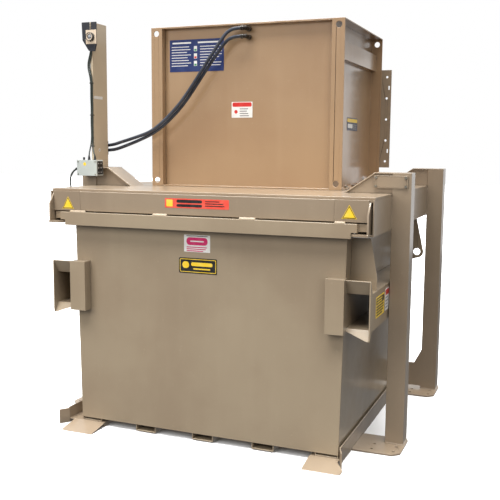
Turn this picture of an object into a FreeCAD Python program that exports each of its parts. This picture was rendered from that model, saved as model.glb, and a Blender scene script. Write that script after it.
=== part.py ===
import FreeCAD, Part
import math
import os
import re
import Sketcher

# Vertical trash compactor with its front-loaded container.
# Millimetres, +Z up, front of the machine towards -Y, floor at z = 0.
# X is measured from the middle plane of the machine.  In the tables below a y value is
# measured backwards from the container's front sheet, which stands at y = front_y.

V = FreeCAD.Vector

DIMS = {
    # container shell, tapered towards its floor
    "front_y": -846.0,
    "shell_half_low": 925.0,
    "shell_half_high": 953.0,
    "shell_depth": 1740.0,
    "shell_floor": 50.0,
    "shell_top": 1490.0,
    "sheet": 6.0,
    # rim across the front and the rails along the sides
    "rim_low": 1401.0,
    "rim_step": 1437.0,
    "rim_reach": 70.0,
    "rim_half": 1025.0,
    "rim_half_low": 990.0,
    "rail_half": 1085.0,
    # skids under the container
    "skid_width": 150.0,
    "skid_pitch": 424.5,
    "skid_low": 8.0,
    # fork pockets
    "pocket_out": 1112.0,
    "pocket_low": 846.0,
    "pocket_high": 1075.0,
    "pocket_length": 1250.0,
    "pocket_wall": 8.0,
    "guide_in": 840.0,
    "guide_out": 957.0,
    "guide_low": 822.0,
    "guide_high": 1158.0,
    # compactor frame
    "frame_half": 1118.0,
    "channel_low": 1416.0,
    "channel_high": 1628.0,
    "channel_web": 8.0,
    "channel_flange": 12.0,
    "guard_half": 1089.0,
    "plate": 10.0,
    "beam_front": -45.0,
    "beam_low": 1497.0,
    "deck_top": 1644.0,
    "throat_half": 636.0,
    "throat_front": 754.0,
    "throat_rear": 1696.0,
    # legs and feet
    "leg_size": 120.0,
    "leg_wall": 8.0,
    "leg_top": 1768.0,
    "leg_y_right": 437.0,
    "leg_y_left": 520.0,
    "leg_y_rear": 1747.0,
    "foot_out": 1250.0,
    "foot_ahead": 190.0,
    "foot_thick": 12.0,
    "foot_cut": 45.0,
    "anchor_radius": 11.0,
    # floor guides and ramps
    "guide_x_right": 936.0,
    "guide_x_left": 1022.0,
    "floor_top": 30.0,
    "floor_in": 745.0,
    "guide_tall": 110.0,
    "ramp_reach": 175.0,
    # ram housing
    "house_half": 725.0,
    "wall_half": 642.0,
    "house_front": 668.0,
    "house_rear": 1786.0,
    "house_top": 2783.0,
    "panel_inset": 50.0,
    "feed_half": 560.0,
    "feed_low": 1780.0,
    "feed_high": 2240.0,
    # ram and its hydraulic cylinders
    "ram_half": 600.0,
    "ram_front": 787.0,
    "ram_rear": 1663.0,
    "ram_low": 2250.0,
    "ram_high": 2500.0,
    "cylinder_x": 330.0,
    "cylinder_y": 1225.0,
    "cylinder_top": 2765.0,
    "barrel_radius": 95.0,
    "barrel_low": 2320.0,
    "stage_gap": 1.0,
    "tube_wall": 13.0,
    # control mast
    "mast_in": 1118.0,
    "mast_wide": 20.0,
    "mast_front": 500.0,
    "mast_back": 690.0,
    "mast_top": 2822.0,
    "head_y": 478.0,
    "head_top": 2819.0,
    "box_y": 412.0,
    "box_deep": 88.0,
    "box_in": 1043.0,
    "box_wide": 168.0,
    "box_low": 1716.0,
    "box_tall": 113.0,
}

# Lengths that follow from the driving ones.
DERIVED = {
    "leg_out": "frame_half + leg_size",
    "rail_low": "rim_step + 6",
    "house_low": "deck_top",
    "panel_front": "house_front + panel_inset",
    "panel_rear": "house_rear - panel_inset",
    "mast_out": "mast_in + mast_wide",
    "mast_low": "leg_top + 8",
    "stage_one_radius": "barrel_radius - tube_wall - stage_gap",
    "stage_two_radius": "stage_one_radius - tube_wall - stage_gap",
    "rod_radius": "stage_two_radius - tube_wall - stage_gap",
}

doc = FreeCAD.newDocument("vertical_compactor")
sheet = doc.addObject("Spreadsheet::Sheet", "Dims")
for row, (alias, size) in enumerate(DIMS.items(), start=1):
    sheet.set("A%d" % row, alias)
    sheet.set("B%d" % row, "%g" % size)
    sheet.setAlias("B%d" % row, alias)
doc.recompute()

nodes = []
counter = [0]


def ref(text):
    """Turn a formula of dimension names into an expression on the sheet."""
    def swap(match):
        word = match.group(0)
        if word in DERIVED:
            return "(" + ref(DERIVED[word]) + ")"
        if word in DIMS:
            return "Dims." + word
        return word
    return re.sub(r"[a-z_][a-z0-9_]*", swap, str(text))


def fresh(kind):
    counter[0] += 1
    return "%s_%03d" % (kind, counter[0])


def bind(thing, field, formula):
    thing.setExpression(field, ref(formula))


def place(thing, x, y, z):
    bind(thing, "Placement.Base.x", x)
    bind(thing, "Placement.Base.y", "front_y + %s" % y)
    bind(thing, "Placement.Base.z", z)


def box(x, y, z):
    """A block between the low and high formula of each axis."""
    block = doc.addObject("Part::Box", fresh("block"))
    for field, span in (("Length", x), ("Width", y), ("Height", z)):
        bind(block, field, "(%s) - (%s)" % (span[1], span[0]))
    place(block, "(%s)" % x[0], "(%s)" % y[0], "(%s)" % z[0])
    return block


AXIS_TURN = {
    "x": FreeCAD.Rotation(V(0, 1, 0), 90),
    "y": FreeCAD.Rotation(V(1, 0, 0), -90),
    "z": FreeCAD.Rotation(),
}


def rod(axis, x, y, z, radius, length):
    """A cylinder that starts at a point and runs along +axis."""
    bar = doc.addObject("Part::Cylinder", fresh("bar"))
    bar.Placement = FreeCAD.Placement(V(), AXIS_TURN[axis])
    bind(bar, "Radius", radius)
    bind(bar, "Height", length)
    place(bar, x, "(%s)" % y, z)
    return bar


def hexagon(axis, x, y, z, radius, length):
    """A hexagonal bar that starts at a point and runs along +axis."""
    bar = doc.addObject("Part::Prism", fresh("hexagon"))
    bar.Placement = FreeCAD.Placement(V(), AXIS_TURN[axis])
    bar.Polygon = 6
    bind(bar, "Circumradius", radius)
    bind(bar, "Height", length)
    place(bar, x, "(%s)" % y, z)
    return bar


def ball(x, y, z, radius):
    sphere = doc.addObject("Part::Sphere", fresh("ball"))
    bind(sphere, "Radius", radius)
    place(sphere, x, "(%s)" % y, z)
    return sphere


def prism(plane, outline, low, high):
    """A pad of a closed outline: plane XZ grows along +Y, YZ along +X, XY along +Z."""
    body = doc.addObject("PartDesign::Body", fresh("body"))
    sketch = body.newObject("Sketcher::SketchObject", fresh("sketch"))
    role = plane + "_Plane"
    origin_plane = [item for item in body.Origin.OriginFeatures if item.Role == role][0]
    sketch.AttachmentSupport = [(origin_plane, "")]
    sketch.MapMode = "FlatFace"
    count = len(outline)
    for index in range(count):
        turn = 2 * math.pi * index / count
        after = 2 * math.pi * (index + 1) / count
        start = V(100 * math.cos(turn), 100 * math.sin(turn), 0)
        end = V(100 * math.cos(after), 100 * math.sin(after), 0)
        sketch.addGeometry(Part.LineSegment(start, end), False)
    for index in range(count):
        sketch.addConstraint(Sketcher.Constraint("Coincident", index, 2, (index + 1) % count, 1))
    for index, point in enumerate(outline):
        for kind, formula in zip(("DistanceX", "DistanceY"), point):
            number = sketch.addConstraint(Sketcher.Constraint(kind, -1, 1, index, 1, 1.0))
            bind(sketch, "Constraints[%d]" % number, formula)
    pad = body.newObject("PartDesign::Pad", fresh("pad"))
    pad.Profile = sketch
    bind(pad, "Length", "(%s) - (%s)" % (high, low))
    pad.Reversed = plane == "XZ"
    starts = {"XZ": ("0", low, "0"), "YZ": (low, "0", "0"), "XY": ("0", "0", low)}
    x, y, z = starts[plane]
    place(body, x, "(%s)" % y, z)
    return body


def fuse(*pieces):
    joined = doc.addObject("Part::MultiFuse", fresh("joined"))
    joined.Shapes = list(pieces)
    joined.Refine = True
    return joined


def cut(base, *tools):
    result = doc.addObject("Part::Cut", fresh("cut"))
    result.Base = base
    result.Tool = tools[0] if len(tools) == 1 else fuse(*tools)
    return result


def common(first, second):
    result = doc.addObject("Part::Common", fresh("common"))
    result.Base = first
    result.Tool = second
    return result


def group(pieces):
    """Identical fasteners kept as separate solids in one node."""
    bundle = doc.addObject("Part::Compound", fresh("group"))
    bundle.Links = list(pieces)
    return bundle


def node(name, thing):
    thing.Label = name
    nodes.append((name, thing))
    return thing


def side_span(side, low, high):
    """An x range on the right side, mirrored for the left one."""
    if side == "right":
        return (low, high)
    return ("-(%s)" % high, "-(%s)" % low)


def side_x(side, formula):
    return formula if side == "right" else "-(%s)" % formula


def side_outline(side, outline):
    return [(side_x(side, x), z) for x, z in outline]


SIDES = ("left", "right")


# ---------------------------------------------------------------- container

def container_shell():
    outside = [("-shell_half_low", "shell_floor"), ("shell_half_low", "shell_floor"),
               ("shell_half_high", "shell_top"), ("-shell_half_high", "shell_top")]
    hollow = [("-shell_half_low + sheet", "shell_floor + sheet"),
              ("shell_half_low - sheet", "shell_floor + sheet"),
              ("shell_half_high - sheet", "shell_top + sheet"),
              ("-shell_half_high + sheet", "shell_top + sheet")]
    body = prism("XZ", outside, "0", "shell_depth")
    inside = prism("XZ", hollow, "sheet", "shell_depth - sheet")
    node("container_shell", cut(body, inside))


def container_rim():
    """Channel across the front of the opening and the rails along both sides."""
    outline = [("-rim_half_low", "rim_low"), ("rim_half_low", "rim_low"),
               ("rim_half_low", "rim_step"), ("rim_half", "rim_step"),
               ("rim_half", "shell_top"), ("-rim_half", "shell_top"),
               ("-rim_half", "rim_step"), ("-rim_half_low", "rim_step")]
    body = prism("XZ", outline, "-rim_reach", "0")
    hollow = box(("-rim_half_low + sheet", "rim_half_low - sheet"), ("-rim_reach + sheet", "1"),
                 ("rim_low + sheet", "shell_top - sheet"))
    rails = []
    for side in SIDES:
        top = side_span(side, "shell_half_high", "rail_half")
        run = ("-38", "shell_depth - 5")
        rails.append(box(top, run, ("shell_top - sheet", "shell_top")))
        rails.append(box(side_span(side, "rail_half - sheet", "rail_half"), run, ("rail_low", "shell_top")))
        rails.append(box(top, ("-38", "-38 + sheet"), ("rail_low", "shell_top")))
    node("container_rim", fuse(cut(body, hollow), *rails))


def container_skid(middle, low):
    """A channel lying on its back: web below, flanges up to the container floor."""
    half = "skid_width / 2"
    body = box(("%s - %s" % (middle, half), "%s + %s" % (middle, half)), ("4", "shell_depth - 10"),
               (low, "shell_floor"))
    hollow = box(("%s - %s + sheet" % (middle, half), "%s + %s - sheet" % (middle, half)),
                 ("3", "shell_depth - 9"), ("(%s) + sheet" % low, "shell_floor + 1"))
    return cut(body, hollow)


def fork_pocket(side):
    """Tube for a fork, its lead-in steel and the slanted plate that ties it to the rim."""
    body = box(side_span(side, "946", "pocket_out"), ("0", "pocket_length"), ("pocket_low", "pocket_high"))
    hollow = box(side_span(side, "946 + pocket_wall", "pocket_out - pocket_wall"),
                 ("-1", "pocket_length + 1"), ("pocket_low + pocket_wall", "pocket_high - pocket_wall"))
    gusset = [("951.6", "rim_low - 10"), ("1067", "rim_low - 10"), ("pocket_out - 2", "guide_high"),
              ("pocket_out - 2", "pocket_high"), ("946", "pocket_high")]
    plate_y = {"right": "110", "left": "300"}[side]
    plate = prism("XZ", side_outline(side, gusset), plate_y, plate_y + " + 10")
    node("fork_pocket_" + side, fuse(cut(body, hollow), plate, *pocket_mouth(side)))


def pocket_mouth(side):
    """The formed steel that leads a fork into the pocket: box, top flare and bottom flare."""
    front = box(side_span(side, "guide_in", "guide_out"), ("-70", "-64"), ("guide_low", "guide_high"))
    inner = box(side_span(side, "guide_in", "guide_in + sheet"), ("-70", "0"), ("guide_low", "guide_high"))
    outer = box(side_span(side, "guide_out - sheet", "guide_out"), ("-70", "0"), ("guide_low", "guide_high"))
    caps = [box(side_span(side, "guide_in", "guide_out"), ("-70", "0"), (low, high))
            for low, high in (("guide_low", "guide_low + sheet"), ("guide_high - sheet", "guide_high"))]
    flare = [("0", "pocket_high - 8"), ("-46", "pocket_high + 76"), ("-41", "pocket_high + 80"),
             ("0", "pocket_high + 8")]
    low_lip = [("0", "pocket_low + 8"), ("-40", "pocket_low - 54"), ("-35", "pocket_low - 58"),
               ("0", "pocket_low - 4")]
    top = prism("YZ", flare, *side_span(side, "guide_out", "pocket_out"))
    bottom = prism("YZ", low_lip, *side_span(side, "guide_out", "pocket_out"))
    slant = prism("XZ", side_outline(side, [("guide_out", "pocket_low - 8"), ("pocket_out", "pocket_low - 62"),
                                            ("pocket_out", "pocket_low + 30"),
                                            ("guide_out", "pocket_low + 30")]), "-60", "10")
    cheek = prism("YZ", [("1", "pocket_low + 4"), ("-40", "pocket_low - 54"), ("-46", "pocket_low - 40"),
                         ("-46", "pocket_high + 68"), ("-43", "pocket_high + 78"), ("1", "pocket_high - 4")],
                  *side_span(side, "pocket_out - pocket_wall", "pocket_out"))
    return [front, inner, outer, *caps, top, common(bottom, slant), cheek]


def container_ear(side):
    """Tie-down ear at the rear corner, with a round eye at its lower end."""
    outline = [("951.6", "rim_low - 10"), ("1054", "rim_low - 10"), ("1111", "1137"), ("1063", "1127"),
               ("1063", "1077.5"), ("945", "1040")]
    blade = prism("XZ", side_outline(side, outline), "1690", "1702")
    disc = rod("y", side_x(side, "1063"), "1690", "1127", "49.5", "12")
    eye = rod("y", side_x(side, "1063"), "1689", "1127", "27", "14")
    node("container_ear_" + side, cut(fuse(blade, disc), eye))


# ---------------------------------------------------------------- frame

def side_channel(side):
    """Channel that opens inwards; its lower flange runs under the container's side rail."""
    web = box(side_span(side, "frame_half - channel_web", "frame_half"), ("-42", "leg_y_rear + leg_size"),
              ("channel_low", "channel_high"))
    top = box(side_span(side, "frame_half - 110", "frame_half"), ("-35", "leg_y_rear + leg_size"),
              ("channel_high - channel_flange", "channel_high"))
    low = box(side_span(side, "995", "frame_half"), ("-42", "leg_y_rear"),
              ("channel_low", "channel_low + channel_flange"))
    node("side_channel_" + side, fuse(web, top, low, *lead_in(side)))


def lead_in(side):
    """Guard plate inside the channel's mouth, with a lip that leads the side rail in."""
    outline = [("-92", "1428.5"), ("420", "1428.5"), ("420", "1615"), ("-42", "1615"), ("-92", "1545")]
    guard = prism("YZ", outline, *side_span(side, "guard_half", "guard_half + plate"))
    lip = prism("XY", side_outline(side, [("guard_half + plate", "-100"), ("1012", "-100"), ("995", "-78"),
                                          ("995", "-42.5"), ("guard_half + plate", "-42.5")]),
                "channel_low + 2", "channel_low + channel_flange + 2")
    return [guard, lip]


def front_beam():
    web = box(("-guard_half", "guard_half"), ("beam_front", "beam_front + plate"),
              ("beam_low", "channel_high"))
    top = box(("-1007", "1007"), ("beam_front", "30"), ("channel_high - 10", "channel_high"))
    low = box(("-guard_half", "guard_half"), ("beam_front", "30"), ("beam_low", "beam_low + 10"))
    ends = [box(side_span(side, "880", "guard_half"), ("beam_front - 4", "beam_front"),
                ("beam_low", "channel_high")) for side in SIDES]
    node("front_beam", fuse(web, top, low, *ends))


def rear_beam():
    web = box(("-frame_half + channel_web", "frame_half - channel_web"),
              ("leg_y_rear + 10", "leg_y_rear + 20"), ("channel_low", "channel_high - 12"))
    low = box(("-frame_half + channel_web", "frame_half - channel_web"),
              ("leg_y_rear + 10", "leg_y_rear + 90"), ("channel_low", "channel_low + 12"))
    node("rear_beam", fuse(web, low))


def deck():
    body = box(("-frame_half", "frame_half"), ("-20", "leg_y_rear + leg_size"), ("channel_high", "deck_top"))
    throat = box(("-throat_half", "throat_half"), ("throat_front", "throat_rear"), ("1600", "1700"))
    node("deck_plate", cut(body, throat))
    ribs = []
    for y in ("throat_front - plate", "throat_rear"):
        ribs.append(box(("-1000", "1000"), (y, "%s + plate" % y), ("1500", "channel_high")))
    for side in SIDES:
        ribs.append(box(side_span(side, "throat_half", "throat_half + plate"),
                        ("throat_front - plate", "throat_rear + plate"), ("1500", "channel_high")))
    node("throat_frame", fuse(*ribs))


LEGS = {
    "front_right": ("right", "leg_y_right"),
    "front_left": ("left", "leg_y_left"),
    "rear_right": ("right", "leg_y_rear"),
    "rear_left": ("left", "leg_y_rear"),
}


def leg(corner):
    """Square tube leg with the bracket that ties its top to the deck."""
    side, y = LEGS[corner]
    back = "%s + leg_size" % y
    tube = box(side_span(side, "frame_half", "leg_out"), (y, back), ("foot_thick", "leg_top"))
    bore = box(side_span(side, "frame_half + leg_wall", "leg_out - leg_wall"),
               ("%s + leg_wall" % y, "%s - leg_wall" % back), ("foot_thick - 1", "leg_top + 1"))
    span = (y, back)
    if corner == "front_left":
        span = ("mast_front", "mast_back")
    cap = box(side_span(side, "998", "leg_out"), span, ("leg_top", "leg_top + 8"))
    web = prism("XZ", side_outline(side, [("820", "deck_top"), ("frame_half", "deck_top"),
                                          ("frame_half", "leg_top"), ("1003", "leg_top")]),
                "%s + 12" % y, "%s + 24" % y)
    slope = prism("XZ", side_outline(side, [("806", "deck_top"), ("822", "deck_top"),
                                            ("1008", "leg_top"), ("998", "leg_top + 8"),
                                            ("996", "leg_top + 4")]), *span)
    extra = [rear_stop(side)] if corner.startswith("rear") else []
    node("leg_" + corner, fuse(cut(tube, bore), cap, web, slope, *extra))


def rear_stop(side):
    """Plate beside the rear leg that the container's rear corner comes up against."""
    outline = [("860", "31"), ("frame_half", "31"), ("frame_half", "330"), ("1062", "219"), ("860", "213")]
    return prism("XZ", side_outline(side, outline), "leg_y_rear", "leg_y_rear + 12")


def foot_plate(corner):
    """Floor plate under a leg, drilled for four anchors."""
    side, y = LEGS[corner]
    inner = "guide_x_%s + 8" % side
    front = "%s - foot_ahead" % y
    back = "%s + leg_size" % y
    outline = [(inner, front), ("foot_out - foot_cut", front),
               ("foot_out", "%s + foot_cut" % front), ("foot_out", "%s - foot_cut / 3" % back),
               ("foot_out - foot_cut / 3", back), (inner, back)]
    plate = prism("XY", side_outline(side, outline), "0", "foot_thick")
    holes = []
    for x in ("foot_out - 47", "1060"):
        for hole_y in ("%s + 57" % front, "%s - 43" % y):
            holes.append(rod("z", side_x(side, x), hole_y, "-1", "anchor_radius", "foot_thick + 2"))
    node("foot_plate_" + corner, cut(plate, *holes))


def leg_cover():
    """Bolted plate over the top of the right front leg."""
    side = "right"
    y = "leg_y_right"
    front = "%s - 8.2" % y
    plate = box(side_span(side, "1000", "1218"), (front, "%s - 0.2" % y), ("1678", "1757"))
    spots = [(x, z) for x in ("1013", "1204") for z in ("1690", "1745")]
    bores = [rod("y", x, "%s - 1" % front, z, "6", "10") for x, z in spots]
    node("leg_cover", cut(plate, *bores))
    bolts = []
    for x, z in spots:
        head = hexagon("y", x, "%s - 16" % y, z, "9", "7.6")
        shank = rod("y", x, "%s - 9" % y, z, "5.8", "8.8")
        bolts.append(fuse(head, shank))
    node("leg_cover_bolts", group(bolts))


FLARE = {"right": ("25", "62", "0"), "left": ("42", "53", "0")}


def floor_guide(side):
    """Angle on the floor that steers the container's outer skid, with a flared front end."""
    wall = "guide_x_" + side
    upright = box(side_span(side, wall, "%s + 8" % wall), ("-15", "leg_y_rear - 12"), ("0", "guide_tall"))
    floor = box(side_span(side, "floor_in", wall), ("-12", "leg_y_rear - 12"), ("floor_top - 8", "floor_top"))
    inner = box(side_span(side, "floor_in", "floor_in + 8"), ("-12", "leg_y_rear - 12"), ("0", "floor_top"))
    out, ahead, _ = FLARE[side]
    flare = prism("XY", side_outline(side, [(wall, "-15"), ("%s + 8" % wall, "-15"),
                                            ("%s + 8 + %s" % (wall, out), "-15 - %s" % ahead),
                                            ("%s + %s" % (wall, out), "-15 - %s" % ahead)]),
                  "0", "guide_tall - 8")
    node("floor_guide_" + side, fuse(upright, floor, inner, flare))


def entry_ramp(side):
    wall = "guide_x_" + side
    section = [("-12.2", "floor_top"), ("-12.2", "floor_top - 8"), ("-150", "0"), ("-ramp_reach", "0"),
               ("3 - ramp_reach", "4")]
    slab = prism("YZ", section, *side_span(side, "floor_in - 5", "990"))
    tongue = "984"
    edge = "%s - 2" % wall if side == "right" else "%s - 40" % wall
    outline = [("floor_in - 3", "-12"), (edge, "-12"), (edge, "-40"), (tongue, "-118"), (tongue, "-158"),
               ("966", "-ramp_reach"), ("floor_in - 3", "-ramp_reach")]
    plan = prism("XY", side_outline(side, outline), "-1", "40")
    ribs = []
    for x in ("floor_in + 20", "830", "900"):
        ribs.append(prism("YZ", [("-14", "0"), ("-14", "floor_top - 7"), ("-140", "1.5"), ("-140", "0")],
                          *side_span(side, x, "%s + 6" % x)))
    node("entry_ramp_" + side, fuse(common(slab, plan), *ribs))


# ---------------------------------------------------------------- ram housing

def house_side(side):
    """Side sheet with outward flanges, a stiffening channel outside and the ram's guides inside."""
    wall = box(side_span(side, "wall_half - sheet", "wall_half"), ("house_front", "house_rear"),
               ("house_low", "house_top"))
    flanges = [box(side_span(side, "wall_half", "house_half"), span, ("house_low", "house_top"))
               for span in (("house_front", "house_front + 8"), ("house_rear - 8", "house_rear"))]
    flanges += [box(side_span(side, "wall_half", "house_half"), ("house_front", "house_rear"), span)
                for span in (("house_low", "house_low + 8"), ("house_top - 8", "house_top"))]
    holes = [rod("y", side_x(side, "house_half - 42"), y, z, "21", "12")
             for y in ("house_front - 2", "house_rear - 10") for z in ("house_low + 43", "house_top - 43")]
    pan = cut(fuse(wall, *flanges), *holes)
    lip = "wall_half + 38"
    face = box(side_span(side, "%s - 5" % lip, lip), ("house_front + 8", "house_rear - 8"), ("2532", "2657"))
    arms = [box(side_span(side, "wall_half", lip), ("house_front + 8", "house_rear - 8"), span)
            for span in (("2532", "2537"), ("2652", "2657"))]
    rails = [box(side_span(side, "605.5", "wall_half - sheet"), (y, "%s + 60" % y), ("1500", "2760"))
             for y in ("ram_front + 40", "ram_rear - 100")]
    node("housing_side_" + side, fuse(pan, face, *arms, *rails))


def house_panels():
    inside = ("-wall_half + sheet", "wall_half - sheet")
    sheet_front = box(inside, ("panel_front", "panel_front + sheet"), ("house_low", "house_top - sheet"))
    ledges = [box(inside, ("house_front", "panel_front"), span)
              for span in (("house_low", "house_low + 8"), ("house_top - 12", "house_top - sheet"))]
    node("housing_front", fuse(sheet_front, *ledges))
    sheet_rear = box(inside, ("panel_rear - sheet", "panel_rear"), ("house_low", "house_top - sheet"))
    feed = box(("-feed_half", "feed_half"), ("panel_rear - 20", "panel_rear + 20"), ("feed_low", "feed_high"))
    ledges = [box(inside, ("panel_rear", "house_rear"), span)
              for span in (("house_low", "house_low + 8"), ("house_top - 12", "house_top - sheet"))]
    sill = box(("-feed_half", "feed_half"), ("panel_rear", "house_rear"), ("feed_low - 8", "feed_low"))
    lintel = box(("-feed_half", "feed_half"), ("panel_rear", "house_rear"), ("feed_high", "feed_high + 8"))
    node("housing_rear", fuse(cut(sheet_rear, feed), *ledges, sill, lintel))
    node("housing_top", box(inside, ("house_front", "house_rear"), ("house_top - sheet", "house_top")))


def house_bolts():
    bolts = []
    for side in SIDES:
        for step in range(6):
            y = "house_front + 60 + %d * (house_rear - house_front - 120) / 5" % step
            head = hexagon("z", side_x(side, "house_half - 40"), y, "house_low + 8", "15", "10")
            bolts.append(head)
    node("housing_bolts", group(bolts))


def mounting_strip(side):
    """Drilled strip beside the feed opening, for whatever feeds the machine."""
    strip = box(side_span(side, "713", "803"), ("house_rear", "house_rear + 8"), ("1778", "2543"))
    holes = [rod("y", side_x(side, "768"), "house_rear - 1", z, "9", "10")
             for z in ("1828", "1993", "2158", "2323", "2488")]
    slots = [box(side_span(side, "780", "790"), ("house_rear - 1", "house_rear + 9"), (z, "%s + 30" % z))
             for z in ("1895", "2390")]
    node("mounting_strip_" + side, cut(strip, *holes, *slots))


def head_beams():
    """Two channels across the housing that carry the cylinders."""
    bars = []
    for low, high, back in (("-160", "-100", "-160"), ("100", "160", "152")):
        flanges = [box(("-wall_half + sheet", "wall_half - sheet"),
                       ("cylinder_y + %s" % low, "cylinder_y + %s" % high), span)
                   for span in (("2600", "2610"), ("2760", "2770"))]
        web = box(("-wall_half + sheet", "wall_half - sheet"),
                  ("cylinder_y + %s" % back, "cylinder_y + %s + 8" % back), ("2600", "2770"))
        bars.append(fuse(*flanges, web))
    node("head_beams", group(bars))


def cylinder(side):
    """Telescopic cylinder: barrel, two sliding stages and the rod on the ram."""
    x = side_x(side, "cylinder_x")
    top = "cylinder_top"
    barrel = rod("z", x, "cylinder_y", "barrel_low", "barrel_radius", "%s - barrel_low" % top)
    bore = rod("z", x, "cylinder_y", "barrel_low - 1", "barrel_radius - tube_wall", "%s - barrel_low - 15" % top)
    flange = box(("%s - 105" % x, "%s + 105" % x), ("cylinder_y - 100", "cylinder_y + 100"), ("2735", top))
    flange_bore = rod("z", x, "cylinder_y", "2730", "barrel_radius - 1", "25")
    node("cylinder_barrel_" + side, cut(fuse(barrel, cut(flange, flange_bore)), bore))
    low = "barrel_low - 15"
    for name, outer, step in (("one", "stage_one_radius", "0"), ("two", "stage_two_radius", "15")):
        tube = rod("z", x, "cylinder_y", "%s - %s" % (low, step), outer, "440")
        hole = rod("z", x, "cylinder_y", "%s - %s - 1" % (low, step), "%s - tube_wall" % outer, "427")
        node("cylinder_stage_%s_%s" % (name, side), cut(tube, hole))
    shaft = rod("z", x, "cylinder_y", "ram_low + 20", "rod_radius", "444")
    node("cylinder_rod_" + side, shaft)


def ram():
    """Deep box with a solid face below and open above, so that the cylinders nest in it."""
    body = box(("-ram_half", "ram_half"), ("ram_front", "ram_rear"), ("ram_low", "ram_high"))
    hollow = box(("-ram_half + 12", "ram_half - 12"), ("ram_front + 12", "ram_rear - 12"),
                 ("ram_low + 20", "ram_high + 1"))
    ribs = [box(("-ram_half + 12", "ram_half - 12"), ("cylinder_y + %s" % y, "cylinder_y + %s + 10" % y),
                ("ram_low + 20", "ram_high - 60")) for y in ("-210", "200")]
    shoes = []
    for side in SIDES:
        for y in ("ram_front + 45", "ram_rear - 95"):
            shoes.append(box(side_span(side, "ram_half", "ram_half + 5"), (y, "%s + 50" % y),
                             ("ram_high - 130", "ram_high - 10")))
    node("ram_platen", fuse(cut(body, hollow), *ribs, *shoes))


# ---------------------------------------------------------------- hydraulics outside

def tube_along(points, radius, bend_share=0.45):
    """A round cord: straight runs joined by tangent arcs, as one solid."""
    edges = []
    radii = []
    start = points[0]
    for before, corner, after in zip(points, points[1:], points[2:]):
        into = (corner - before)
        away = (after - corner)
        shorter = min(into.Length, away.Length)
        into = into.normalize()
        away = away.normalize()
        turn = into.getAngle(away)
        trim = bend_share * shorter
        bend = trim / math.tan(turn / 2)
        radii.append(bend)
        enter = corner - into * trim
        leave = corner + away * trim
        inward = (away - into).normalize()
        centre = corner + inward * (bend / math.cos(turn / 2))
        middle = centre - inward * bend
        edges.append(Part.LineSegment(start, enter).toShape())
        edges.append(Part.Arc(enter, middle, leave).toShape())
        start = leave
    edges.append(Part.LineSegment(start, points[-1]).toShape())
    path = Part.Wire(edges)
    direction = (points[1] - points[0]).normalize()
    ring = Part.Wire([Part.Circle(points[0], direction, radius).toShape()])
    solid = path.makePipeShell([ring], True, True)
    section = math.pi * radius * radius * path.Length
    return solid, path.Length, min(radii), solid.Volume / section


def cord(name, route, radius):
    """A flexible cord through a hand-chosen route (y measured from the front sheet)."""
    points = [V(x, y + DIMS["front_y"], z) for x, y, z in route]
    solid, length, tightest, ratio = tube_along(points, radius)
    piece = doc.addObject("Part::Feature", name)
    piece.Shape = solid
    piece.Placement = FreeCAD.Placement()
    node(name, piece)
    print("%s length %.0f tightest %.0f (%.1f diameters) volume ratio %.4f"
          % (name, length, tightest, tightest / (2 * radius), ratio))


HOSE_RADIUS = 12.0
HOSE_UPPER = [(-8, 640, 2746), (-53, 640, 2746), (-95.6, 640, 2731.4), (-131, 638, 2703.7),
              (-242, 618, 2541), (-345, 610, 2388), (-460, 602, 2234), (-594, 596, 2106),
              (-696, 596, 2036), (-806, 604, 2003), (-900, 634, 1981), (-998, 676, 1962),
              (-1085, 712, 1942), (-1170, 726, 1935)]
HOSE_LOWER = [(-8, 640, 2690), (-53, 640, 2690), (-95.7, 640, 2675.9), (-131.8, 641, 2649),
              (-219, 642, 2541), (-331, 636, 2385), (-446, 630, 2227), (-583, 624, 2096),
              (-688, 622, 2025), (-822, 630, 1972), (-908, 652, 1946), (-1000, 682, 1921),
              (-1085, 713, 1903), (-1170, 726, 1900)]


def hose_fittings():
    """Elbows out of the housing front and the ports behind the mast."""
    elbows = []
    for z in ("2746", "2690"):
        stem = rod("y", "26", "640", z, "14", "panel_front - 640")
        nut = hexagon("y", "26", "panel_front - 30", z, "17", "30")
        corner = ball("26", "640", z, "16")
        arm = rod("x", "-8", "640", z, "13.5", "34")
        ferrule = rod("x", "-7", "640", z, "17", "16")
        elbows.append(fuse(stem, nut, corner, arm, ferrule))
    node("hose_elbows", group(elbows))
    wing = box(("-1218", "-mast_in"), ("mast_back", "mast_back + 6"), ("1868", "1970"))
    bulkhead = box(("-1218", "-1210"), ("mast_back", "mast_back + 84"), ("1868", "1970"))
    ports = []
    for z in ("1935", "1900"):
        ports.append(rod("x", "-1215", "726", z, "14", "45"))
        ports.append(hexagon("x", "-1210", "726", z, "19", "14"))
        ports.append(hexagon("x", "-1236", "726", z, "17", "18"))
    node("hose_bulkhead", fuse(wing, bulkhead, *ports))


# ---------------------------------------------------------------- control mast

def mast():
    """Flat steel tube that stands on the cap of the left front leg."""
    tube = box(("-mast_out", "-mast_in"), ("mast_front", "mast_back"), ("mast_low", "mast_top"))
    bore = box(("3 - mast_out", "-mast_in - 3"), ("mast_front + 3", "mast_back - 3"),
               ("mast_low - 1", "mast_top - 3"))
    node("control_mast", cut(tube, bore))


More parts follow.
